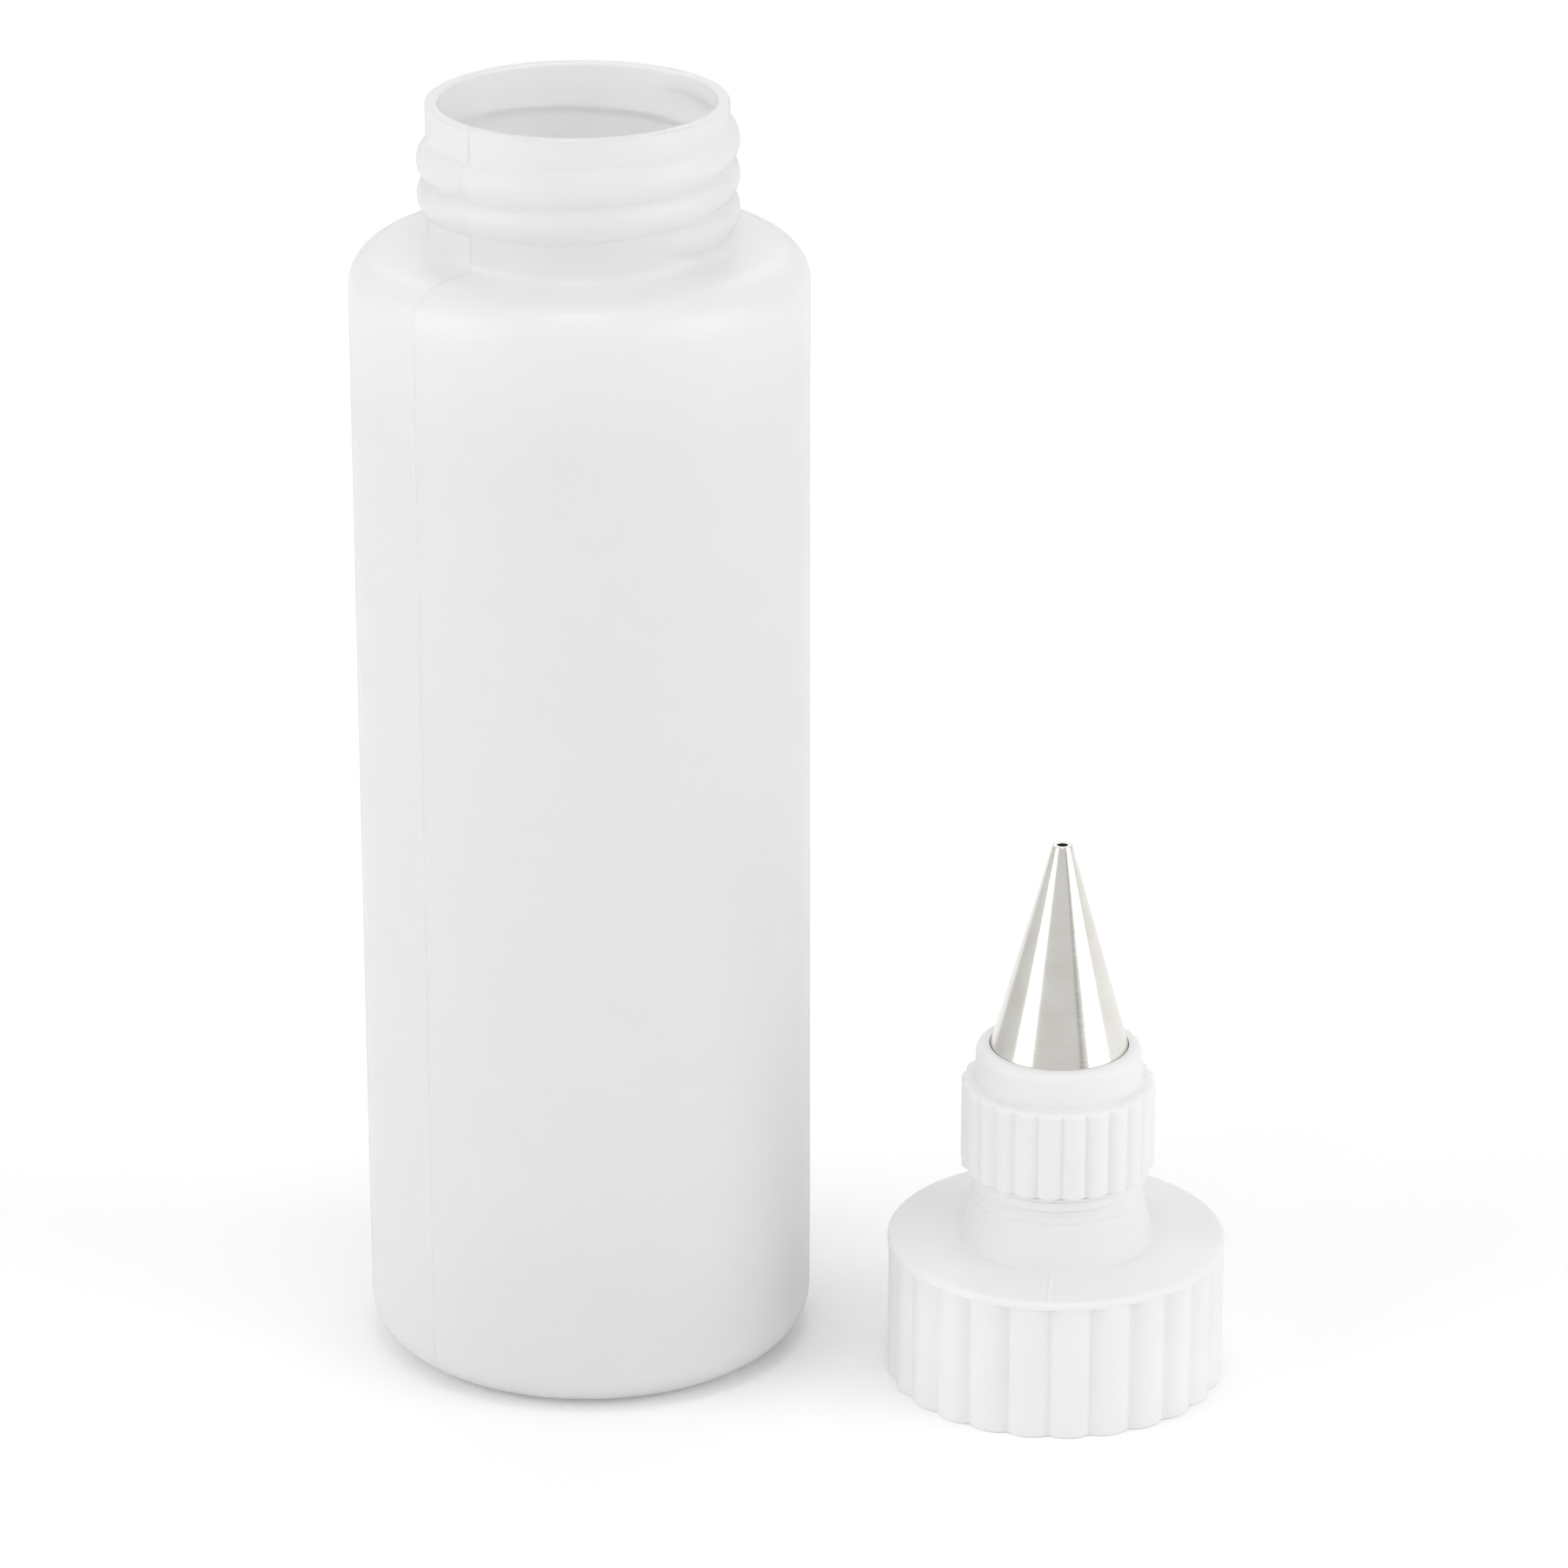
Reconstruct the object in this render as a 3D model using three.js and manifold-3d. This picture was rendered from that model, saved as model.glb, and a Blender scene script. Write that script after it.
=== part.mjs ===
// A squeeze bottle for glue, with its applicator cap standing beside it.
//
// The bottle is a blown, translucent cylinder with a wide screw neck. The cap is a fluted screw
// cap with a hollow, threaded spigot on top. A fluted coupling nut on that spigot clamps a conical
// steel nozzle, and a soft washer under the cap's deck seals against the bottle's rim.
//
// Millimetres, +Z up. Both pieces stand on z = 0 with their axes on the X axis, and the origin is
// the middle of the ground that they cover. Every piece is drawn about its own Z axis.

import * as THREE from 'three';
import { mergeVertices } from 'three/addons/utils/BufferGeometryUtils.js';
import Module from 'manifold-3d';

const wasm = await Module();
wasm.setup();

// ---------------------------------------------------------------- driving dimensions

const CLEARANCE = 0.3; // between pieces that touch
const BEVEL = 0.3; // on small edges
const SINK = 0.3; // of a body into the one that it joins
const SEGMENTS = 48; // round the bottle, the cap and the nozzle
const SPIGOT_SEGMENTS = 36; // round the spigot's and the nut's threads

const BOTTLE = {
  radius: 27,
  height: 155.7,
  wall: 1.1,
  footCorner: 5.4, // radius of the rounded foot
  footRingOuter: 21.2,
  footRingInner: 18.6,
  pushUp: 1.5, // how far the middle of the base is raised
  pushUpSlope: 2.2, // width of the slope inside the foot ring
  baseThickness: 1.3,
  shoulderStart: 133.7,
  shoulderCorner: 4.8,
  neckStart: 138.8,
};

const NECK = {
  radius: 17.65,
  rootBevel: 0.5, // where it rises from the shoulder
  bore: 16.2,
  pitch: 4.15,
  threadHeight: 1.1,
  threadWidth: 3.8,
  threadStartZ: 142,
  threadStartAngle: -45, // degrees, from +X
  threadTurns: 2.35,
};

const CAP = {
  rimRadius: 20.5, // smooth edge above the flutes
  radius: 20.4, // over the flutes
  valley: 19.7, // between the flutes
  flutes: 25,
  fluteAngle: -2, // degrees, of a flute's crest
  fluteTop: 17,
  height: 17.9, // top of the deck
  edge: 0.7, // rounded edge of the deck
  deck: 1.6, // thickness of the deck
  bore: 19,
  threadHeight: 0.95,
  threadStartZ: 2.6,
  threadTurns: 1.75,
};

const WASHER = {
  radius: 18.4,
  bore: 12.5,
  thickness: 1,
};

const SPIGOT = {
  flareRadius: 11.7, // where it leaves the deck
  flareTop: 23.3,
  step: 0.12, // from the flare to the neck
  neckRadius: 10.4,
  stopRingRadius: 10.75,
  stopRingBottom: 25.3,
  stopRingTop: 26.6,
  radius: 8.8, // root of its thread
  bore: 6.2,
  top: 39, // the step that the nozzle stands on
  noseRadius: 8.35,
  noseTop: 41.4,
  noseTopRadius: 7.65,
  pitch: 2.5,
  threadHeight: 0.8,
  threadStartZ: 28.6,
  threadTurns: 3,
};

const NUT = {
  radius: 11.75, // over the flutes
  valley: 11.25,
  flutes: 24,
  fluteAngle: 5.7,
  bottom: 26.95,
  fluteBottom: 27.2,
  fluteTop: 38.2,
  collarRadius: 10.05,
  collarTopRadius: 9.85,
  lip: 42.75, // top of the collar
  lipEdge: 1.15, // rounded edge of the collar
  bore: 9.95, // root of its thread
  boreTop: 37.4,
  seatRadius: 9.45,
  seatBottom: 37.7,
  seatGap: 0.2, // round the nozzle
  threadHeight: 0.8,
  threadTurns: 2.75,
};

const NOZZLE = {
  base: SPIGOT.top + CLEARANCE,
  baseRadius: 9.19,
  tip: 68.3,
  tipRadius: 1.15,
  tipEdge: 0.25,
  wall: 0.45,
  hole: 0.65,
  holeDepth: 2, // of the straight hole in the tip
};

const AXIS_SPACING = 58.3; // from the bottle's axis to the cap's
const GROUND_LENGTH = BOTTLE.radius + AXIS_SPACING + CAP.rimRadius;
const BOTTLE_X = BOTTLE.radius - GROUND_LENGTH / 2;
const CAP_X = BOTTLE_X + AXIS_SPACING;

// ---------------------------------------------------------------- geometry helpers

const radians = THREE.MathUtils.degToRad;

// Points [r, z] on an arc of an outline, from one angle to another, in degrees.
function arc(centreR, centreZ, radius, from, to, steps = 5) {
  const points = [];
  for (let i = 0; i <= steps; i++) {
    const angle = radians(from + ((to - from) * i) / steps);
    points.push([centreR + radius * Math.cos(angle), centreZ + radius * Math.sin(angle)]);
  }
  return points;
}

// A three.js geometry as a manifold-3d solid.
function solid(geometry) {
  const bare = new THREE.BufferGeometry();
  bare.setAttribute('position', geometry.getAttribute('position'));
  bare.setIndex(geometry.index);
  const merged = mergeVertices(bare, 1e-4);
  const triVerts = new Uint32Array(merged.index.array);
  const vertProperties = new Float32Array(merged.attributes.position.array);
  return new wasm.Manifold(new wasm.Mesh({ numProp: 3, vertProperties, triVerts }));
}

// A manifold-3d solid as a three.js geometry with flat faces.
function geometryOf(shape) {
  const { vertProperties, triVerts } = shape.getMesh();
  const geometry = new THREE.BufferGeometry();
  geometry.setAttribute('position', new THREE.BufferAttribute(vertProperties, 3));
  geometry.setIndex(new THREE.BufferAttribute(triVerts, 1));
  const flat = geometry.toNonIndexed();
  flat.computeVertexNormals();
  return flat;
}

// A closed outline of [r, z] points, counter-clockwise in the r-z plane, turned about the Z axis.
function turned(outline, segments = SEGMENTS) {
  const points = outline.map(([r, z]) => new THREE.Vector2(r, z));
  const first = outline[0];
  if (first[0] > 0) points.push(new THREE.Vector2(...first));
  const geometry = new THREE.LatheGeometry(points, segments);
  geometry.rotateX(Math.PI / 2);
  return solid(geometry);
}

// A cylinder with convex flutes that meet in sharp valleys.
function fluted({ radius, valley, flutes, fluteAngle }, bottom, top, stepsPerFlute = 4) {
  const half = Math.PI / flutes;
  const rise = radius - valley * Math.cos(half);
  const halfChord = valley * Math.sin(half);
  const fluteRadius = (halfChord ** 2 + rise ** 2) / (2 * rise);
  const centre = radius - fluteRadius;
  const shape = new THREE.Shape();
  for (let i = 0; i < flutes * stepsPerFlute; i++) {
    const angle = (2 * half * i) / stepsPerFlute;
    const fromCrest = angle - 2 * half * Math.round(angle / (2 * half));
    const across = centre * Math.sin(fromCrest);
    const r = centre * Math.cos(fromCrest) + Math.sqrt(fluteRadius ** 2 - across ** 2);
    const point = [r * Math.cos(angle), r * Math.sin(angle)];
    if (i === 0) shape.moveTo(...point);
    else shape.lineTo(...point);
  }
  const geometry = new THREE.ExtrudeGeometry(shape, { depth: top - bottom, bevelEnabled: false });
  geometry.rotateZ(radians(fluteAngle));
  geometry.translate(0, 0, bottom);
  return solid(geometry);
}

// One helical ridge of a right-handed thread, standing `height` proud of `root`: outwards on a
// spigot, inwards in a bore. Its section is a list of [share of the height, z] points. It is sunk a
// little into the wall and fades into it at both ends.
function ridge({ root, height, section, pitch, turns, startZ, startAngle = 0, segments, inside }) {
  const fadeSteps = Math.round(segments / 10);
  const steps = Math.round(turns * segments);
  const side = inside ? -1 : 1;
  const loop = [[null, section[0][1]], ...section, [null, section.at(-1)[1]]];
  const positions = [];
  for (let i = 0; i <= steps; i++) {
    const fade = Math.min(1, i / fadeSteps, (steps - i) / fadeSteps);
    const angle = radians(startAngle) + (2 * Math.PI * i) / segments;
    const z = startZ + (pitch * i) / segments;
    for (const [share, dz] of loop) {
      const proud = share === null ? -SINK : height * (share * fade - 0.1 * (1 - fade));
      const r = root + side * proud;
      positions.push(r * Math.cos(angle), r * Math.sin(angle), z + dz);
    }
  }
  const n = loop.length;
  const faces = [];
  const add = (a, b, c) => (inside ? faces.push(a, c, b) : faces.push(a, b, c));
  for (let i = 0; i < steps; i++) {
    for (let j = 0; j < n; j++) {
      const a = i * n + j;
      const b = i * n + ((j + 1) % n);
      add(a, a + n, b);
      add(b, a + n, b + n);
    }
  }
  const last = steps * n;
  for (let j = 1; j < n - 1; j++) {
    add(0, j, j + 1);
    add(last, last + j + 1, last + j);
  }
  const geometry = new THREE.BufferGeometry();
  geometry.setAttribute('position', new THREE.Float32BufferAttribute(positions, 3));
  geometry.setIndex(faces);
  return solid(geometry);
}

// A ridge section that is an arc as wide as `width`.
function roundSection(width, steps = 6) {
  const points = [];
  for (let i = 0; i <= steps; i++) {
    const angle = Math.PI * (i / steps);
    points.push([Math.sin(angle), (-width / 2) * Math.cos(angle)]);
  }
  return points;
}

// A ridge section with straight flanks.
function flatSection(baseWidth, crestWidth) {
  return [
    [0, -baseWidth / 2],
    [1, -crestWidth / 2],
    [1, crestWidth / 2],
    [0, baseWidth / 2],
  ];
}

// ---------------------------------------------------------------- the pieces

// A thin shell with a raised base, a rounded foot, a nearly flat shoulder and a threaded neck.
function bottle() {
  const { radius, height, wall, footCorner, shoulderStart, shoulderCorner, neckStart } = BOTTLE;
  const innerRadius = radius - wall;
  const innerFoot = footCorner - wall;
  const innerShoulder = shoulderCorner - wall;
  const shell = turned([
    [0, BOTTLE.pushUp],
    [BOTTLE.footRingInner - BOTTLE.pushUpSlope, BOTTLE.pushUp],
    [BOTTLE.footRingInner, 0],
    [BOTTLE.footRingOuter, 0],
    ...arc(radius - footCorner, footCorner, footCorner, -85, 0),
    ...arc(radius - shoulderCorner, shoulderStart, shoulderCorner, 0, 84),
    [NECK.radius + NECK.rootBevel, neckStart],
    [NECK.radius, neckStart + NECK.rootBevel],
    [NECK.radius, height - BEVEL],
    [NECK.radius - BEVEL, height],
    [NECK.bore + BEVEL, height],
    [NECK.bore, height - BEVEL],
    [NECK.bore, neckStart - wall],
    ...arc(innerRadius - innerShoulder, shoulderStart, innerShoulder, 84, 0),
    ...arc(innerRadius - innerFoot, footCorner, innerFoot, 0, -85),
    [BOTTLE.footRingInner + wall / 2, wall],
    [BOTTLE.footRingInner + wall / 2 - BOTTLE.pushUpSlope, BOTTLE.pushUp + BOTTLE.baseThickness],
    [0, BOTTLE.pushUp + BOTTLE.baseThickness],
  ]);
  const thread = ridge({
    root: NECK.radius,
    height: NECK.threadHeight,
    section: roundSection(NECK.threadWidth),
    pitch: NECK.pitch,
    turns: NECK.threadTurns,
    startZ: NECK.threadStartZ,
    startAngle: NECK.threadStartAngle,
    segments: SEGMENTS,
  });
  return shell.add(thread);
}

// The cap's outside: fluted skirt, deck with a rounded edge, and the flare and stop ring of the spigot.
function capBody() {
  const deckAndSpigot = turned([
    [0, CAP.fluteTop],
    [CAP.rimRadius, CAP.fluteTop],
    ...arc(CAP.rimRadius - CAP.edge, CAP.height - CAP.edge, CAP.edge, 0, 90, 3),
    [SPIGOT.flareRadius, CAP.height],
    [SPIGOT.neckRadius + SPIGOT.step, SPIGOT.flareTop],
    [SPIGOT.neckRadius, SPIGOT.flareTop],
    [SPIGOT.neckRadius, SPIGOT.stopRingBottom],
    [SPIGOT.stopRingRadius, SPIGOT.stopRingBottom + BEVEL],
    [SPIGOT.stopRingRadius, SPIGOT.stopRingTop],
    [SPIGOT.radius, SPIGOT.stopRingTop],
    [SPIGOT.radius, SPIGOT.top],
    [SPIGOT.noseRadius, SPIGOT.top],
    [SPIGOT.noseTopRadius, SPIGOT.noseTop],
    [0, SPIGOT.noseTop],
  ]);
  const skirt = fluted(CAP, 0, CAP.fluteTop + SINK);
  return skirt.add(deckAndSpigot);
}

function screwCap() {
  const ceiling = CAP.height - CAP.deck;
  const hollow = turned([
    [0, -1],
    [CAP.bore + BEVEL, -1],
    [CAP.bore + BEVEL, BEVEL],
    [CAP.bore, 2 * BEVEL],
    [CAP.bore, ceiling],
    [SPIGOT.bore, ceiling],
    [SPIGOT.bore, SPIGOT.noseTop + 1],
    [0, SPIGOT.noseTop + 1],
  ]);
  const innerThread = ridge({
    root: CAP.bore,
    height: CAP.threadHeight,
    section: flatSection(1.5, 0.4),
    pitch: NECK.pitch,
    turns: CAP.threadTurns,
    startZ: CAP.threadStartZ,
    segments: SEGMENTS,
    inside: true,
  });
  const outerThread = ridge({
    root: SPIGOT.radius,
    height: SPIGOT.threadHeight,
    section: flatSection(1.3, 0.6),
    pitch: SPIGOT.pitch,
    turns: SPIGOT.threadTurns,
    startZ: SPIGOT.threadStartZ,
    segments: SPIGOT_SEGMENTS,
  });
  return capBody().subtract(hollow).add(innerThread).add(outerThread);
}

// A soft ring that lies under the deck, above the reach of the bottle's rim.
function rimWasher() {
  const top = CAP.height - CAP.deck - CLEARANCE;
  const bottom = top - WASHER.thickness;
  return turned([
    [WASHER.bore, bottom],
    [WASHER.radius, bottom],
    [WASHER.radius, top],
    [WASHER.bore, top],
  ]);
}

// The nozzle's outer radius at a height.
function nozzleRadius(z) {
  const share = (z - NOZZLE.base) / (NOZZLE.tip - NOZZLE.base);
  return THREE.MathUtils.lerp(NOZZLE.baseRadius, NOZZLE.tipRadius, share);
}

function couplingNut() {
  const { lip, lipEdge, collarTopRadius, fluteTop } = NUT;
  const outside = turned([
    [0, NUT.bottom],
    [NUT.valley - BEVEL, NUT.bottom],
    [NUT.valley - BEVEL, fluteTop],
    [NUT.collarRadius, fluteTop],
    ...arc(collarTopRadius - lipEdge, lip - lipEdge, lipEdge, 0, 90),
    [0, lip],
  ]);
  const seatTop = nozzleRadius(lip) + NUT.seatGap;
  const inside = turned([
    [0, NUT.bottom - 1],
    [NUT.bore, NUT.bottom - 1],
    [NUT.bore, NUT.boreTop],
    [NUT.seatRadius, NUT.seatBottom],
    [NUT.seatRadius, NOZZLE.base],
    [seatTop, lip],
    [seatTop, lip + 1],
    [0, lip + 1],
  ], SPIGOT_SEGMENTS);
  const halfTurn = 180;
  const thread = ridge({
    root: NUT.bore,
    height: NUT.threadHeight,
    section: flatSection(1.1, 0.5),
    pitch: SPIGOT.pitch,
    turns: NUT.threadTurns,
    startZ: SPIGOT.threadStartZ,
    startAngle: halfTurn,
    segments: SPIGOT_SEGMENTS,
    inside: true,
  });
  return fluted(NUT, NUT.fluteBottom, fluteTop).add(outside).subtract(inside).add(thread);
}

// A drawn cone with an open base and a small hole in its tip.
function nozzle() {
  const { base, baseRadius, tip, tipRadius, tipEdge, wall, hole, holeDepth } = NOZZLE;
  return turned([
    [baseRadius - wall, base],
    [baseRadius, base],
    [tipRadius, tip - tipEdge],
    [tipRadius - tipEdge / 2, tip],
    [hole, tip],
    [hole, tip - holeDepth],
  ]);
}

// ---------------------------------------------------------------- materials and assembly

const MATERIALS = {
  bottle_ldpe: { color: 0xe6e8e7, roughness: 0.45, metalness: 0, transparent: true, opacity: 0.75 },
  white_pp: { color: 0xf1f1f2, roughness: 0.38, metalness: 0 },
  seal_foam: { color: 0xf4f2ec, roughness: 0.9, metalness: 0 },
  nozzle_steel: { color: 0xc9c8c3, roughness: 0.2, metalness: 1 },
};

function piece(name, shape, material) {
  const mesh = new THREE.Mesh(geometryOf(shape), new THREE.MeshStandardMaterial(MATERIALS[material]));
  mesh.name = name;
  return mesh;
}

const capGroup = new THREE.Group();
capGroup.position.x = CAP_X;
capGroup.add(piece('screw_cap', screwCap(), 'white_pp'));
capGroup.add(piece('rim_washer', rimWasher(), 'seal_foam'));
capGroup.add(piece('coupling_nut', couplingNut(), 'white_pp'));
capGroup.add(piece('nozzle', nozzle(), 'nozzle_steel'));

const squeezeBottle = piece('bottle', bottle(), 'bottle_ldpe');
squeezeBottle.position.x = BOTTLE_X;

const glueApplicator = new THREE.Group();
glueApplicator.add(squeezeBottle, capGroup);

export default glueApplicator;
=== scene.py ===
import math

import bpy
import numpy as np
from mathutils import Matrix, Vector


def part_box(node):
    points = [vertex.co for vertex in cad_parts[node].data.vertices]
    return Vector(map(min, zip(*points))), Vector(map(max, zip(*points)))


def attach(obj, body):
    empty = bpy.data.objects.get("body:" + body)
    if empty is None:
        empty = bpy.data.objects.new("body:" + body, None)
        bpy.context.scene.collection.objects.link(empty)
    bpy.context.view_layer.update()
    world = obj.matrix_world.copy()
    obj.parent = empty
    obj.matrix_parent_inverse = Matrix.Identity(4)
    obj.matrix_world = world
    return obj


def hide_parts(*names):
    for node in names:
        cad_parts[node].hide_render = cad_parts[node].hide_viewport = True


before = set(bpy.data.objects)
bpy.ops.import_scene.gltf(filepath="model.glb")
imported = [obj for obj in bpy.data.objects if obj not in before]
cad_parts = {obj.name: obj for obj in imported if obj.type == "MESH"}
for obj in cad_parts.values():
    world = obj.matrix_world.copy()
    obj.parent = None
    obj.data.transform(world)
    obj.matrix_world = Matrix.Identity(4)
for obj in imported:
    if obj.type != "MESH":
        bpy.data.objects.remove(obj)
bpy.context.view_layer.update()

# The looks of a glue bottle and of its applicator cap, which stands beside it.
#
# Every piece is a solid of revolution with relief: an outline of radius and height, turned about
# the piece's axis, whose surface then rises and sinks where there are threads, flutes and mould
# lines. Sizes are in millimetres until a mesh is made.

MM = 0.001
TURN = 2 * math.pi

# ---------------------------------------------------------------- sizes from the frame


def axis_of(node):
    """A node's vertical axis, as a point on the ground in metres."""
    low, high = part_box(node)
    return Vector(((low.x + high.x) / 2, (low.y + high.y) / 2, 0))


def half_width(node):
    """A node's outer radius."""
    low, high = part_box(node)
    return (high.x - low.x) / 2 / MM


def bottom(node):
    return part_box(node)[0].z / MM


def top(node):
    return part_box(node)[1].z / MM


BOTTLE_AXIS = axis_of("bottle")
CAP_AXIS = axis_of("screw_cap")

# ---------------------------------------------------------------- sizes of details

# Angles are in degrees round a piece's axis from +X. A seam shows again half a turn on.

BOTTLE_WALL = 1.1
BOTTLE_BASE = 1.3  # thickness of the base in its raised middle
FOOT_CORNER = 5.4  # radius of the rounded foot
FOOT_RING_RADIUS = 18.6  # inner radius of the ring that the bottle stands on
PUSH_UP = 1.5  # how far the middle of the base is raised
BASE_RISE = 0.45  # how much further its centre is
SHOULDER = 138.15  # height of the shoulder's rim, before its corner is rounded
SHOULDER_CORNER = 4.8  # radius
BOTTLE_SEAM = -120.2  # angle

NECK_ROOT = 138.83  # height
NECK_RADIUS = 17.65
NECK_BORE = 16.2  # radius, like every bore here
NECK_PITCH = 4.15
NECK_THREAD_START = 142  # height
NECK_THREAD_ANGLE = -45  # where it starts
NECK_THREAD_TURNS = 2.35
NECK_THREAD_HEIGHT = 1.12

CAP_FLUTES = 25
CAP_FLUTE_ANGLE = -2.0  # of a crest
CAP_FLUTE_RADIUS = 20.4
CAP_FLUTE_DEPTH = 0.75
CAP_FLUTE_TOP = 17  # height
CAP_MOUTH = 19.3  # radius inside its lower edge
CAP_BORE = 19
CAP_SEAM = -81.5  # angle
DECK = 17.9  # height
DECK_THICKNESS = 1.6

FLARE_FOOT_RADIUS = 11.75  # where the flare leaves the deck
FLARE_TOP = 23.15  # height
STOP_RING = (25.3, 26.6)  # heights
STOP_RING_RADIUS = 10.72
SPIGOT_RADIUS = 8.8
SPIGOT_BORE = 6.2
SPIGOT_STEP = 39  # height of the step that the nozzle stands on
SPIGOT_PITCH = 2.5
SPIGOT_THREAD_START = 28.6  # height
SPIGOT_THREAD_HEIGHT = 0.8

WASHER_BORE = 12.5

NUT_SKIRT_REACH = 0.3  # how far the nut's skirt reaches below its CAD solid
NUT_FLUTES = 24
NUT_FLUTE_ANGLE = 5.7
NUT_FLUTE_DEPTH = 0.55
NUT_FLUTE_TOP = 38.2  # height
NUT_BORE = 9.95
NUT_SEAT_RADIUS = 9.45  # of the recess that holds the nozzle's base
COLLAR_RADIUS = 10.05

NOZZLE_WALL = 0.45
NOZZLE_TIP_RADIUS = 1.15
NOZZLE_HOLE = 0.62  # radius

# ---------------------------------------------------------------- outlines


def unit(vector):
    return vector / np.linalg.norm(vector)


def fillet(before, corner, after, radius):
    """Points of the arc that rounds off a corner."""
    back, ahead = unit(before - corner), unit(after - corner)
    half = math.acos(np.clip(back @ ahead, -1, 1)) / 2
    centre = corner + unit(back + ahead) * radius / math.sin(half)
    start = corner + back * radius / math.tan(half) - centre
    sweep = math.pi - 2 * half
    sweep *= np.sign(-back[0] * ahead[1] + back[1] * ahead[0])
    degrees_a_step = 18 if radius < 0.5 else 11
    steps = max(3, math.ceil(abs(sweep) / math.radians(degrees_a_step)))
    points = []
    for angle in np.linspace(0, sweep, steps + 1):
        c, s = math.cos(angle), math.sin(angle)
        points.append(centre + (c * start[0] - s * start[1], s * start[0] + c * start[1]))
    return points


def outline(corners, closed):
    """Points [r, z] of an outline. A corner is (r, z, fillet radius, spacing of the points after it)."""
    places = [np.array(c[:2], float) for c in corners]
    rounded = []
    for i, (_, _, radius, spacing) in enumerate(corners):
        end = not closed and i in (0, len(corners) - 1)
        if end or radius == 0:
            arc = [places[i]]
        else:
            arc = fillet(places[i - 1], places[i], places[(i + 1) % len(corners)], radius)
        rounded.append((arc, spacing))
    points = []
    for i, (arc, spacing) in enumerate(rounded):
        points += arc
        if not closed and i == len(rounded) - 1:
            break
        following = rounded[(i + 1) % len(rounded)][0][0]
        gap = following - arc[-1]
        rounding = 1e-6
        steps = math.ceil(np.linalg.norm(gap) / spacing - rounding)
        points += [arc[-1] + gap * k / steps for k in range(1, steps)]
    return np.array(points)


class Surface:
    """A turned outline, as arrays for a relief to be worked out on.

    Each row is a point of the outline: r and z are its place, and out and up are its normal.
    Each column is an angle round the axis, in radians."""

    def __init__(self, points, closed, angles):
        if closed:
            along = np.roll(points, -1, 0) - np.roll(points, 1, 0)
        else:
            along = np.gradient(points, axis=0)
        along /= np.linalg.norm(along, axis=1, keepdims=True)
        self.r, self.z = points[:, :1], points[:, 1:]
        self.out, self.up = along[:, 1:], -along[:, :1]
        self.angle = angles[None, :]


def around(count, first=0.0, seams=()):
    """Angles round a piece, in radians: evenly spaced, with close ones beside each seam.

    The first angle and the seams are given in degrees."""
    even = math.radians(first) + np.arange(count) * TURN / count
    offsets = (-0.8, -0.4, -0.2, 0, 0.2, 0.4, 0.8)
    close = [math.radians(seam_angle + offset) for seam_angle in seams for offset in offsets]
    least_gap = math.radians(0.15)
    keep = [a for a in even % TURN if all(abs(wrapped(a - c)) > least_gap for c in close)]
    return np.sort(np.array(keep + [c % TURN for c in close]))


def wrapped(angle):
    """An angle brought between minus and plus half a turn."""
    return (angle + math.pi) % TURN - math.pi


def ring_faces(index, closed):
    """Four-sided faces between each row of vertices and the next one."""
    here = index if closed else index[:-1]
    above = np.roll(index, -1, 0) if closed else index[1:]
    quads = np.stack([here, np.roll(here, -1, 1), np.roll(above, -1, 1), above], -1)
    return quads.reshape(-1, 4).tolist()


def pole_faces(index, first_pole, last_pole):
    """Triangles that close the first and the last row round a pole each."""
    faces = []
    for a, b in zip(index[0], np.roll(index[0], -1)):
        faces.append((first_pole, b, a))
    for a, b in zip(index[-1], np.roll(index[-1], -1)):
        faces.append((last_pole, a, b))
    return faces


def revolve(name, axis, points, closed, angles, relief):
    """A mesh object: the outline turned about the axis, then shifted by the relief.

    The relief gives the shift outward and the shift upward. An outline that isn't closed starts
    and ends on the axis."""
    surface = Surface(points, closed, angles)
    shift_r, shift_z = relief(surface)
    r, z, _ = np.broadcast_arrays(surface.r + shift_r, surface.z + shift_z, surface.angle)
    if not closed:
        r, z = r[1:-1], z[1:-1]
    vertices = np.stack([r * np.cos(surface.angle), r * np.sin(surface.angle), z], -1).reshape(-1, 3)
    index = np.arange(r.size).reshape(r.shape)
    faces = ring_faces(index, closed)
    if not closed:
        faces += pole_faces(index, len(vertices), len(vertices) + 1)
        vertices = np.concatenate([vertices, [[0, 0, points[0, 1]], [0, 0, points[-1, 1]]]])
    mesh = bpy.data.meshes.new(name)
    mesh.from_pydata((vertices * MM).tolist(), [], faces)
    mesh.shade_smooth()
    piece = bpy.data.objects.new(name, mesh)
    piece.location = axis
    bpy.context.scene.collection.objects.link(piece)
    return piece


# ---------------------------------------------------------------- relief


def smooth(x):
    """A soft step from 0 to 1."""
    x = np.clip(x, 0, 1)
    return x * x * (3 - 2 * x)


def round_crest(x):
    """Section of a ridge like a low arc, for x from 0 in its middle to 1 at its foot."""
    radius_squared = 1.9
    foot = math.sqrt(radius_squared - 1)
    return (np.sqrt(radius_squared - np.clip(x, 0, 1) ** 2) - foot) / (math.sqrt(radius_squared) - foot)


def flat_crest(x):
    """Section of a ridge with steep flanks and a flat crest."""
    flank = 0.62
    return smooth((1 - x) / flank)


def soft_swell(x):
    """Section of a ridge that fades out at its foot."""
    return np.cos(np.clip(x, 0, 1) * math.pi / 2) ** 2


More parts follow.
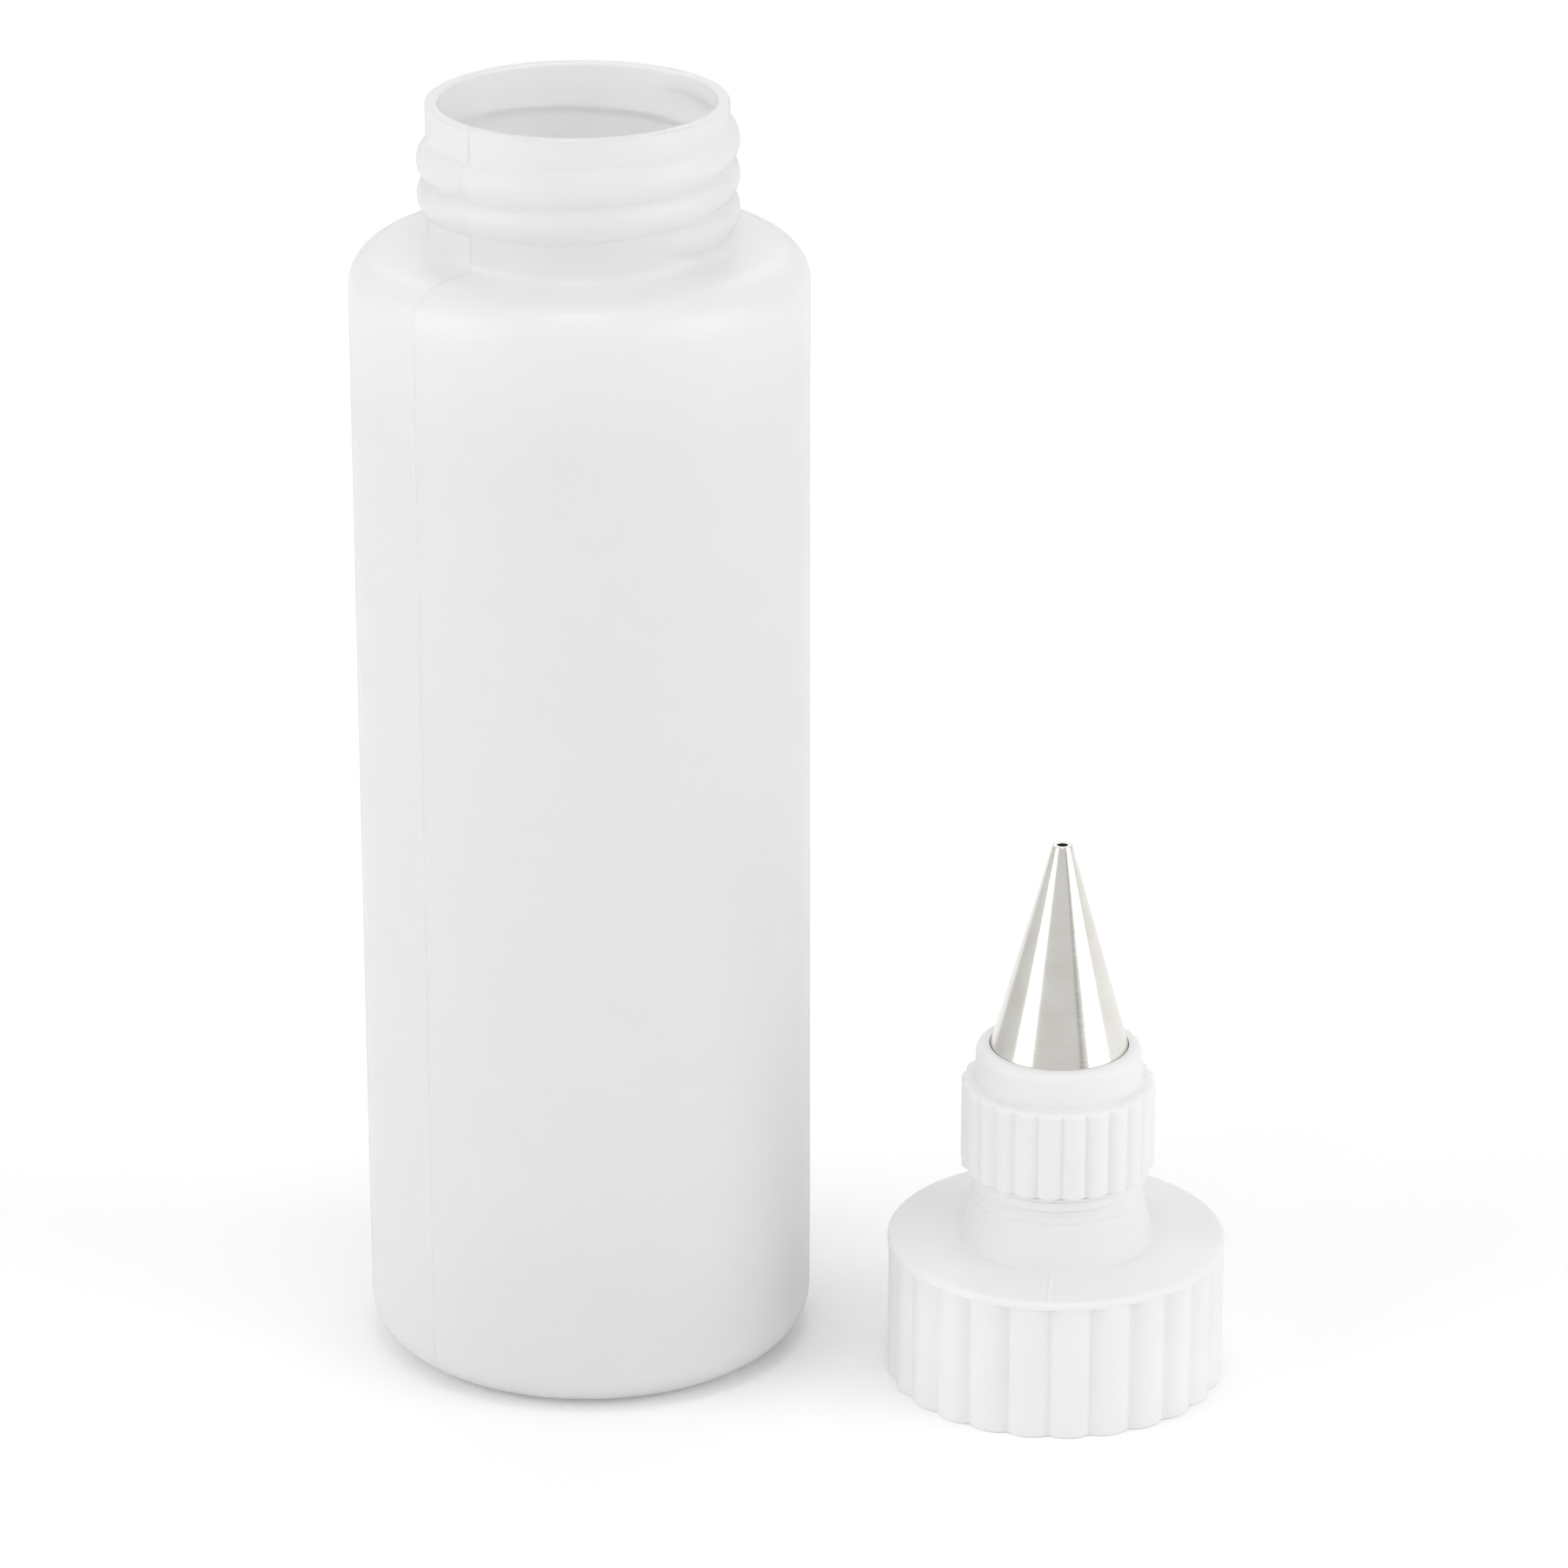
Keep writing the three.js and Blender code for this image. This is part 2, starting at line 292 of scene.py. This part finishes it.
def thread(surface, section, start, start_angle, pitch, turns, width):
    """How far up a helical, right-hand ridge each point stands, from 0 beside it to 1 on its crest."""
    fade_turns = 0.07
    end_width = 0.45
    first = ((surface.angle - math.radians(start_angle)) / TURN) % 1
    share = np.zeros((surface.z.shape[0], surface.angle.shape[1]))
    for turn in range(math.ceil(turns) + 1):
        travel = first + turn
        fade = smooth(np.minimum(travel, turns - travel) / fade_turns)
        half = width / 2 * (end_width + (1 - end_width) * fade)
        beside = np.abs(surface.z - start - pitch * travel) / half
        share = np.maximum(share, fade * np.where(beside < 1, section(np.minimum(beside, 1)), 0))
    return share


def flutes(angle, count, crest):
    """Depth of convex flutes: 0 on a crest, and nearly 1 in the slightly rounded valleys."""
    softness = 0.06
    across = np.abs(wrapped((angle - math.radians(crest)) * count)) / math.pi
    from_valley = 1 - across
    rounded = (1 - softness) * (1 - from_valley**2 / softness)
    return np.where(from_valley > softness, across**2, rounded)


def seam(surface, degrees, width):
    """Height of a fine line, from 0 to 1, in the upright plane at an angle and half a turn on."""
    nearest = wrapped(2 * (surface.angle - math.radians(degrees))) / 2
    return np.exp(-((surface.r * np.sin(nearest) / width) ** 2))


def along_normal(surface, height):
    """The outward and the upward shift that raise a surface by a height."""
    return height * surface.out, height * surface.up


def no_relief(surface):
    return 0, 0


# ---------------------------------------------------------------- the bottle


def bottle_outline():
    radius, height = half_width("bottle"), top("bottle")
    inner = radius - BOTTLE_WALL
    floor_top = PUSH_UP + BOTTLE_BASE
    edge = 0.32
    return outline([
        (0, PUSH_UP + BASE_RISE, 0, 0.9),
        (8, PUSH_UP + 0.35, 12, 0.9),
        (FOOT_RING_RADIUS - 2.2, PUSH_UP, 1.6, 0.6),
        (FOOT_RING_RADIUS, 0, 0.9, 0.6),
        (radius, 0, FOOT_CORNER, 2.5),
        (radius, SHOULDER, SHOULDER_CORNER, 0.8),
        (NECK_RADIUS, NECK_ROOT, 1.1, 0.2),
        (NECK_RADIUS, height, edge, 0.4),
        (NECK_BORE, height, edge, 0.26),
        (NECK_BORE, NECK_ROOT - BOTTLE_WALL, 1.4, 0.8),
        (inner, SHOULDER - BOTTLE_WALL, SHOULDER_CORNER - BOTTLE_WALL, 4),
        (inner, BOTTLE_WALL, FOOT_CORNER - BOTTLE_WALL, 0.8),
        (FOOT_RING_RADIUS + 0.6, BOTTLE_WALL, 1.5, 0.8),
        (FOOT_RING_RADIUS - 1.7, floor_top, 1.6, 1.6),
        (0, floor_top + BASE_RISE, 0, 0.9),
    ], closed=False)


def on_neck(s):
    """1 on the neck, fading to 0 at its root and at its rim."""
    foot, rim, fade = 140, top("bottle") - 0.6, 0.6
    return smooth((s.z - foot) / fade) * smooth((rim - s.z) / fade)


def neck_relief(s):
    """The neck's thread outside, and the shallow groove that follows it in the bore."""
    helix = dict(
        start=NECK_THREAD_START,
        start_angle=NECK_THREAD_ANGLE,
        pitch=NECK_PITCH,
        turns=NECK_THREAD_TURNS,
    )
    nick = 1 - 0.3 * seam(s, BOTTLE_SEAM, 0.35)
    ridge = NECK_THREAD_HEIGHT * nick * thread(s, round_crest, width=4.5, **helix)
    groove = -0.12 * thread(s, soft_swell, width=3.4, **helix)
    return on_neck(s) * np.where(s.out > 0.5, ridge, np.where(s.out < -0.5, groove, 0))


def mould_relief(s):
    """The parting line, and the pinched weld that it ends in under the base."""
    near_ground = s.z < 2.2
    outside = (s.out > 0.01) | ((s.up < 0) & near_ground)
    parting_line = (0.1 + 0.06 * on_neck(s)) * seam(s, BOTTLE_SEAM, 0.16)
    weld_end, fade = 14.5, 2
    weld = 0.22 * seam(s, BOTTLE_SEAM, 0.42) * smooth((weld_end - s.r) / fade)
    under_base = outside & near_ground & (s.r < 16)
    return np.where(outside, parting_line, 0) + np.where(under_base, weld, 0)


def blown_relief(s):
    """The slight unevenness of a blown wall, the same outside and inside."""
    depth = 0.045
    waves = np.sin(2 * s.angle + 0.9) * np.sin(s.z / 31 + 0.4) + 0.6 * np.sin(3 * s.angle - s.z / 47)
    foot, rim, fade = 8, 132, 14
    on_body = smooth((s.z - foot) / fade) * smooth((rim - s.z) / fade)
    return depth * waves * on_body * np.sign(s.out)


def bottle_relief(s):
    return along_normal(s, neck_relief(s) + mould_relief(s) + blown_relief(s))


def make_bottle():
    angles = around(216, seams=(BOTTLE_SEAM, BOTTLE_SEAM + 180))
    return revolve("squeeze_bottle", BOTTLE_AXIS, bottle_outline(), False, angles, bottle_relief)


# ---------------------------------------------------------------- the cap


def cap_outline():
    rim = CAP_FLUTE_RADIUS + 0.03
    nose_top = top("screw_cap")
    ceiling = DECK - DECK_THICKNESS
    ring_bottom, ring_top = STOP_RING
    return outline([
        (CAP_MOUTH, 0, 0.12, 0.25),
        (CAP_FLUTE_RADIUS, 0, 0.3, 1.6),
        (CAP_FLUTE_RADIUS, CAP_FLUTE_TOP - 0.4, 0, 0.08),
        (rim, CAP_FLUTE_TOP, 0, 0.2),
        (rim, DECK, 0.6, 1.2),
        (14, DECK - 0.08, 4, 0.6),
        (FLARE_FOOT_RADIUS, DECK - 0.1, 0.35, 0.4),
        (10.85, 21, 9, 0.4),
        (10.5, FLARE_TOP, 0.3, 0.2),
        (10.38, FLARE_TOP + 0.15, 0.1, 0.3),
        (10.38, 24.2, 0.06, 0.1),
        (10.28, 24.3, 0.06, 0.3),
        (10.28, ring_bottom - 0.1, 0.2, 0.12),
        (STOP_RING_RADIUS, ring_bottom + 0.1, 0.14, 0.3),
        (STOP_RING_RADIUS, ring_top, 0.2, 0.5),
        (SPIGOT_RADIUS, ring_top, 0.3, 0.17),
        (SPIGOT_RADIUS, SPIGOT_STEP - 0.3, 0.1, 0.3),
        (8.35, SPIGOT_STEP, 0.2, 0.5),
        (7.65, nose_top, 0.4, 0.4),
        (SPIGOT_BORE, nose_top, 0.3, 1.6),
        (SPIGOT_BORE, ceiling, 0.6, 1.2),
        (CAP_BORE, ceiling, 0.6, 0.4),
        (CAP_BORE, 0.6, 0.15, 0.2),
    ], closed=True)


def cap_fluting(s):
    on_skirt = smooth((s.r - CAP_MOUTH - 0.05) / 0.5) * smooth((CAP_FLUTE_TOP - s.z) / 0.3)
    not_inside = s.out > -0.9
    return -CAP_FLUTE_DEPTH * on_skirt * not_inside * flutes(s.angle, CAP_FLUTES, CAP_FLUTE_ANGLE)


def cap_threads(s):
    """The thread in the skirt, for the bottle's neck, and the one on the spigot, for the nut."""
    neck = thread(
        s, flat_crest, start=2.6, start_angle=0, pitch=NECK_PITCH, turns=1.75, width=1.5
    )
    spigot = thread(
        s, flat_crest, start=SPIGOT_THREAD_START, start_angle=0, pitch=SPIGOT_PITCH, turns=3, width=1.3
    )
    in_skirt = (s.out < -0.5) & (s.r > 15)
    on_spigot = (s.out > 0.5) & (s.z > STOP_RING[1] + 0.3) & (s.z < SPIGOT_STEP - 0.4)
    return np.where(in_skirt, 0.95 * neck, 0) + np.where(on_spigot, SPIGOT_THREAD_HEIGHT * spigot, 0)


def cap_mould_line(s):
    """The mould's line across the deck and on the stop ring."""
    on_deck = (np.abs(s.z - DECK) < 0.15) & (s.r > FLARE_FOOT_RADIUS + 0.05) & (s.r < 19.9)
    on_ring = (s.z > STOP_RING[0]) & (s.z < STOP_RING[1] - 0.1) & (s.r > 10.4) & (s.r < 11)
    return np.where(on_deck | on_ring, 0.17 * seam(s, CAP_SEAM, 0.13), 0)


def cap_relief(s):
    shift_r, shift_z = along_normal(s, cap_threads(s) + cap_mould_line(s))
    return shift_r + cap_fluting(s), shift_z


def make_cap():
    angles = around(CAP_FLUTES * 12, CAP_FLUTE_ANGLE, seams=(CAP_SEAM, CAP_SEAM + 180))
    return revolve("fluted_screw_cap", CAP_AXIS, cap_outline(), True, angles, cap_relief)


# ---------------------------------------------------------------- the washer


def make_washer():
    low, high = bottom("rim_washer"), top("rim_washer")
    outer, inner = half_width("rim_washer"), WASHER_BORE
    edge = 0.15
    points = outline([
        (inner, low, edge, 0.7),
        (outer, low, edge, 0.4),
        (outer, high, edge, 0.7),
        (inner, high, edge, 0.4),
    ], closed=True)

    def relief(s):
        uneven = np.sin(5 * s.angle + s.r) * np.sin(3 * s.angle - 0.7 * s.r)
        return along_normal(s, 0.03 * uneven)

    return revolve("foam_rim_washer", CAP_AXIS, points, True, around(144), relief)


# ---------------------------------------------------------------- the coupling nut


def nozzle_radius(z):
    """Outer radius of the nozzle's cone at a height."""
    base, tip = bottom("nozzle"), top("nozzle")
    return np.interp(z, (base, tip), (half_width("nozzle"), NOZZLE_TIP_RADIUS))


def nut_outline():
    low = bottom("coupling_nut") - NUT_SKIRT_REACH
    lip = top("coupling_nut")
    crest = half_width("coupling_nut")
    skirt = 10.95
    seat = bottom("nozzle")
    bore_top = 37.4
    return outline([
        (skirt, low, 0.12, 0.2),
        (skirt, low + 0.52, 0, 0.1),
        (crest, low + 0.55, 0.3, 0.5),
        (crest, NUT_FLUTE_TOP, 0.6, 0.2),
        (COLLAR_RADIUS + 0.06, NUT_FLUTE_TOP + 0.1, 0.3, 0.6),
        (COLLAR_RADIUS - 0.15, lip, 1.15, 0.3),
        (nozzle_radius(lip) + 0.05, lip, 0.12, 0.4),
        (NUT_SEAT_RADIUS, seat, 0.2, 0.4),
        (NUT_SEAT_RADIUS, bore_top + 0.3, 0.1, 0.3),
        (NUT_BORE, bore_top, 0.2, 0.14),
        (NUT_BORE, low, 0.2, 0.3),
    ], closed=True)


def nut_relief(s):
    lowest = bottom("coupling_nut") + 0.15
    on_grip = smooth((s.r - 10.3) / 0.5) * (s.z > lowest) * (s.z < NUT_FLUTE_TOP + 0.2)
    fluting = -NUT_FLUTE_DEPTH * on_grip * flutes(s.angle, NUT_FLUTES, NUT_FLUTE_ANGLE)
    ridge = thread(
        s,
        flat_crest,
        start=SPIGOT_THREAD_START,
        start_angle=180,
        pitch=SPIGOT_PITCH,
        turns=2.75,
        width=1.1,
    )
    in_bore = (s.out < -0.5) & (s.z < 37.2)
    shift_r, shift_z = along_normal(s, np.where(in_bore, SPIGOT_THREAD_HEIGHT * ridge, 0))
    return shift_r + fluting, shift_z


def make_nut():
    angles = around(NUT_FLUTES * 12, NUT_FLUTE_ANGLE)
    return revolve("fluted_coupling_nut", CAP_AXIS, nut_outline(), True, angles, nut_relief)


# ---------------------------------------------------------------- the nozzle


def make_nozzle():
    base, tip = bottom("nozzle"), top("nozzle")
    wide = half_width("nozzle")
    hole_depth = 2.2
    points = outline([
        (wide - NOZZLE_WALL, base, 0.1, 0.3),
        (wide, base, 0.12, 0.8),
        (NOZZLE_TIP_RADIUS, tip, 0.22, 0.2),
        (NOZZLE_HOLE, tip, 0.12, 0.5),
        (NOZZLE_HOLE, tip - hole_depth, 0.5, 0.8),
    ], closed=True)

    return revolve("steel_nozzle", CAP_AXIS, points, True, around(160), no_relief)


# ---------------------------------------------------------------- materials


class Material:
    """A procedural material: one Principled shader, and nodes that feed it.

    Underscores in a socket's keyword stand for spaces."""

    def __init__(self, name, **sockets):
        self.data = bpy.data.materials.new(name)
        self.data.use_nodes = True
        self.tree = self.data.node_tree
        self.shader = self.tree.nodes["Principled BSDF"]
        for socket, value in sockets.items():
            self.shader.inputs[socket.replace("_", " ")].default_value = value
        self.place = self.add("ShaderNodeTexCoord").outputs["Object"]

    def add(self, kind, **settings):
        node = self.tree.nodes.new(kind)
        for key, value in settings.items():
            setattr(node, key, value)
        return node

    def link(self, output, socket):
        self.tree.links.new(output, socket)

    def noise(self, size, detail=2.0, stretch=(1, 1, 1)):
        """Noise from 0 to 1 with patches about size millimetres across, stretched along each axis."""
        scaled = self.add("ShaderNodeMapping")
        scaled.inputs["Scale"].default_value = [1 / (size * MM * k) for k in stretch]
        self.link(self.place, scaled.inputs["Vector"])
        texture = self.add("ShaderNodeTexNoise")
        texture.inputs["Scale"].default_value = 1.0
        texture.inputs["Detail"].default_value = detail
        self.link(scaled.outputs["Vector"], texture.inputs["Vector"])
        return texture.outputs["Fac"]

    def spread(self, value, low, high):
        """A value from 0.3 to 0.7, where noise mostly lies, spread from low to high."""
        node = self.add("ShaderNodeMapRange")
        for socket, number in zip(("From Min", "From Max", "To Min", "To Max"), (0.3, 0.7, low, high)):
            node.inputs[socket].default_value = number
        self.link(value, node.inputs["Value"])
        return node.outputs["Result"]

    def rise(self, low, high, below, above):
        """A value that changes from below to above between two heights in millimetres."""
        height = self.add("ShaderNodeSeparateXYZ")
        self.link(self.place, height.inputs["Vector"])
        node = self.add("ShaderNodeMapRange", interpolation_type="SMOOTHSTEP")
        numbers = (low * MM, high * MM, below, above)
        for socket, number in zip(("From Min", "From Max", "To Min", "To Max"), numbers):
            node.inputs[socket].default_value = number
        self.link(height.outputs["Z"], node.inputs["Value"])
        return node.outputs["Result"]

    def total(self, first, second):
        """The sum of two values."""
        node = self.add("ShaderNodeMath", operation="ADD")
        self.link(first, node.inputs[0])
        self.link(second, node.inputs[1])
        return node.outputs["Value"]

    def blend(self, share, first, second):
        """A colour between two colours, by share."""
        node = self.add("ShaderNodeMix", data_type="RGBA")
        self.link(share, node.inputs["Factor"])
        for socket, colour in (("A", first), ("B", second)):
            colour_inputs = [i for i in node.inputs if i.name == socket and i.type == "RGBA"]
            colour_inputs[0].default_value = (*colour, 1)
        return [o for o in node.outputs if o.type == "RGBA"][0]

    def bump(self, height, depth, normal=None):
        """A bump as deep as depth millimetres, on top of another normal."""
        node = self.add("ShaderNodeBump")
        node.inputs["Distance"].default_value = depth * MM
        self.link(height, node.inputs["Height"])
        if normal is not None:
            self.link(normal, node.inputs["Normal"])
        return node.outputs["Normal"]

    def feed(self, **sockets):
        """Link values to the shader's sockets."""
        for socket, output in sockets.items():
            self.link(output, self.shader.inputs[socket.replace("_", " ")])


def bottle_plastic():
    """Milky and satin. It lets least light through at the shoulder and is roughest on the neck."""
    m = Material("milky_polyethylene", IOR=1.51)
    cloudy = m.spread(m.noise(22, 3, (1, 1, 2.4)), 0, 1)
    ripple = m.bump(m.noise(9, 1, (1, 1, 3)), 0.06)
    grain = m.bump(m.noise(0.5, 2), 0.004, ripple)
    patchy_gloss = m.spread(m.noise(6, 3), -0.03, 0.04)
    roughness = m.rise(139, 141, 0.33, 0.42)
    below_neck = m.rise(118, 136, 0.47, 0.38)
    extra_on_neck = m.rise(139.5, 142.5, 0, 0.12)
    m.feed(
        Base_Color=m.blend(cloudy, (0.968, 0.972, 0.97), (0.976, 0.978, 0.976)),
        Roughness=m.total(patchy_gloss, roughness),
        Transmission_Weight=m.total(below_neck, extra_on_neck),
        Normal=grain,
    )
    return m.data


def white_plastic():
    """Opaque white, with the fine spark texture of its mould."""
    m = Material(
        "white_polypropylene",
        IOR=1.49,
        Subsurface_Weight=0.35,
        Subsurface_Radius=(1.0, 0.95, 0.9),
        Subsurface_Scale=0.6 * MM,
    )
    cloudy = m.spread(m.noise(14, 2), 0, 1)
    sink = m.bump(m.noise(5, 1), 0.02)
    spark_texture = m.bump(m.noise(0.22, 2), 0.006, sink)
    m.feed(
        Base_Color=m.blend(cloudy, (0.775, 0.775, 0.779), (0.8, 0.801, 0.802)),
        Roughness=m.spread(m.noise(1.2, 3), 0.44, 0.54),
        Normal=spark_texture,
    )
    return m.data


def polished_steel():
    """Steel with the faint rings of its turning."""
    m = Material("polished_stainless_steel", Metallic=1.0)
    rings = m.noise(0.16, 2, (60, 60, 1))
    patches = m.noise(4, 3)
    turned = m.bump(rings, 0.0012)
    m.feed(
        Base_Color=m.blend(m.spread(patches, 0, 1), (0.75, 0.725, 0.675), (0.8, 0.785, 0.75)),
        Roughness=m.spread(rings, 0.13, 0.22),
        Normal=turned,
    )
    return m.data


def seal_foam():
    """Closed-cell foam."""
    m = Material("polyethylene_foam", IOR=1.45, Subsurface_Weight=0.3, Subsurface_Scale=0.5 * MM)
    cells = m.add("ShaderNodeTexVoronoi")
    cells.inputs["Scale"].default_value = 1 / (0.35 * MM)
    m.link(m.place, cells.inputs["Vector"])
    patches = m.spread(m.noise(3, 3), 0, 1)
    m.feed(
        Base_Color=m.blend(patches, (0.83, 0.82, 0.79), (0.88, 0.875, 0.85)),
        Roughness=m.spread(m.noise(0.8, 2), 0.75, 0.92),
        Normal=m.bump(cells.outputs["Distance"], 0.05),
    )
    return m.data


# ---------------------------------------------------------------- assembly


def dress(piece, node, body, material):
    """The piece stands for a CAD node and moves with its body."""
    piece.data.materials.append(material)
    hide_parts(node)
    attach(piece, body)


white = white_plastic()
dress(make_bottle(), "bottle", "bottle", bottle_plastic())
dress(make_cap(), "screw_cap", "screw_cap", white)
dress(make_washer(), "rim_washer", "rim_washer", seal_foam())
dress(make_nut(), "coupling_nut", "coupling_nut", white)
dress(make_nozzle(), "nozzle", "nozzle", polished_steel())

# ---------------------------------------------------------------- floor, light and camera

# Places and sizes in this section are in metres.

LIGHT_TARGET = (0, 0, 0.07)
CAMERA_PLACE = (0.16386, -0.71627, 0.35975)
CAMERA_HEADING = 12.995  # degrees anticlockwise from looking along +Y
CAMERA_PITCH = 21.31  # degrees that it looks down
CAMERA_LENS = 151.98  # focal length in millimetres
CAMERA_SENSOR = 36  # width in millimetres


def add_floor():
    reach = 30
    mesh = bpy.data.meshes.new("floor")
    corners = [(-reach, -reach, 0), (reach, -reach, 0), (reach, reach, 0), (-reach, reach, 0)]
    mesh.from_pydata(corners, [], [(0, 1, 2, 3)])
    floor = bpy.data.objects.new("floor", mesh)
    m = Material("pale_floor", Roughness=0.9, Specular_IOR_Level=0.1)
    patches = m.spread(m.noise(400, 2), 0, 1)
    m.feed(Base_Color=m.blend(patches, (0.96, 0.96, 0.96), (0.97, 0.97, 0.97)))
    mesh.materials.append(m.data)
    bpy.context.scene.collection.objects.link(floor)


def aim(thing, place, target):
    thing.location = place
    thing.rotation_euler = (Vector(target) - Vector(place)).to_track_quat("-Z", "Y").to_euler()


def round_object(azimuth, distance, height):
    """A place at an azimuth round the object, in degrees from the front towards +X."""
    angle = math.radians(azimuth)
    return distance * math.sin(angle), -distance * math.cos(angle), height


def add_softbox(name, azimuth, distance, height, size, radiance):
    """A rectangular light of the stated radiance that faces the object."""
    data = bpy.data.lights.new(name, "AREA")
    data.shape = "RECTANGLE"
    data.size, data.size_y = size
    data.energy = radiance * math.pi * size[0] * size[1]
    light = bpy.data.objects.new(name, data)
    light.visible_camera = False
    bpy.context.scene.collection.objects.link(light)
    aim(light, round_object(azimuth, distance, height), LIGHT_TARGET)


def add_card(name, azimuth, distance, height, size, grey):
    """A dull card that shows in reflections, but not to the camera or in light on the floor."""
    mesh = bpy.data.meshes.new(name)
    x, y = size[0] / 2, size[1] / 2
    mesh.from_pydata([(-x, -y, 0), (x, -y, 0), (x, y, 0), (-x, y, 0)], [], [(0, 1, 2, 3)])
    card = bpy.data.objects.new(name, mesh)
    m = Material("card_paint", Base_Color=(*grey, 1), Roughness=0.9)
    mesh.materials.append(m.data)
    card.visible_camera = card.visible_diffuse = card.visible_shadow = False
    bpy.context.scene.collection.objects.link(card)
    aim(card, round_object(azimuth, distance, height), LIGHT_TARGET)


def add_world(radiance):
    """Even white light from everywhere."""
    world = bpy.data.worlds.new("studio")
    bpy.context.scene.world = world
    world.use_nodes = True
    background = world.node_tree.nodes["Background"]
    background.inputs["Color"].default_value = (1, 1, 1, 1)
    background.inputs["Strength"].default_value = radiance


def set_bounces():
    """Let light cross the bottle's wall as often as it takes to fill the bottle."""
    cycles = bpy.context.scene.cycles
    cycles.max_bounces = 32
    cycles.diffuse_bounces = 24
    cycles.transmission_bounces = 24


def add_camera():
    """The photograph's viewing angle, from further off and with no shift."""
    data = bpy.data.cameras.new("camera")
    data.sensor_width = CAMERA_SENSOR
    data.lens = CAMERA_LENS
    camera = bpy.data.objects.new("camera", data)
    camera.location = CAMERA_PLACE
    camera.rotation_euler = (math.radians(90 - CAMERA_PITCH), 0, math.radians(CAMERA_HEADING))
    bpy.context.scene.collection.objects.link(camera)
    bpy.context.scene.camera = camera


def add_lights():
    """Two large softboxes at the sides, one overhead, one behind, and a card for the steel's edge."""
    front = 13  # azimuth of the camera
    sides = dict(distance=1.45, height=0.6, radiance=1.6)
    add_world(0.735)
    add_softbox("left_softbox", front - 68, size=(1.22, 1.37), **sides)
    add_softbox("right_softbox", front + 68, size=(1.14, 1.37), **sides)
    add_softbox("top_softbox", front, distance=0.2, height=1.3, size=(0.32, 0.32), radiance=5.0)
    add_softbox("back_softbox", front + 180, distance=1.2, height=0.9, size=(1.6, 0.8), radiance=0.78)
    add_card("dark_edge", front + 37, distance=0.8, height=0.12, size=(0.07, 0.3), grey=(0.3, 0.3, 0.3))


add_floor()
add_lights()
add_camera()
set_bounces()
bpy.context.scene.view_settings.view_transform = "Standard"
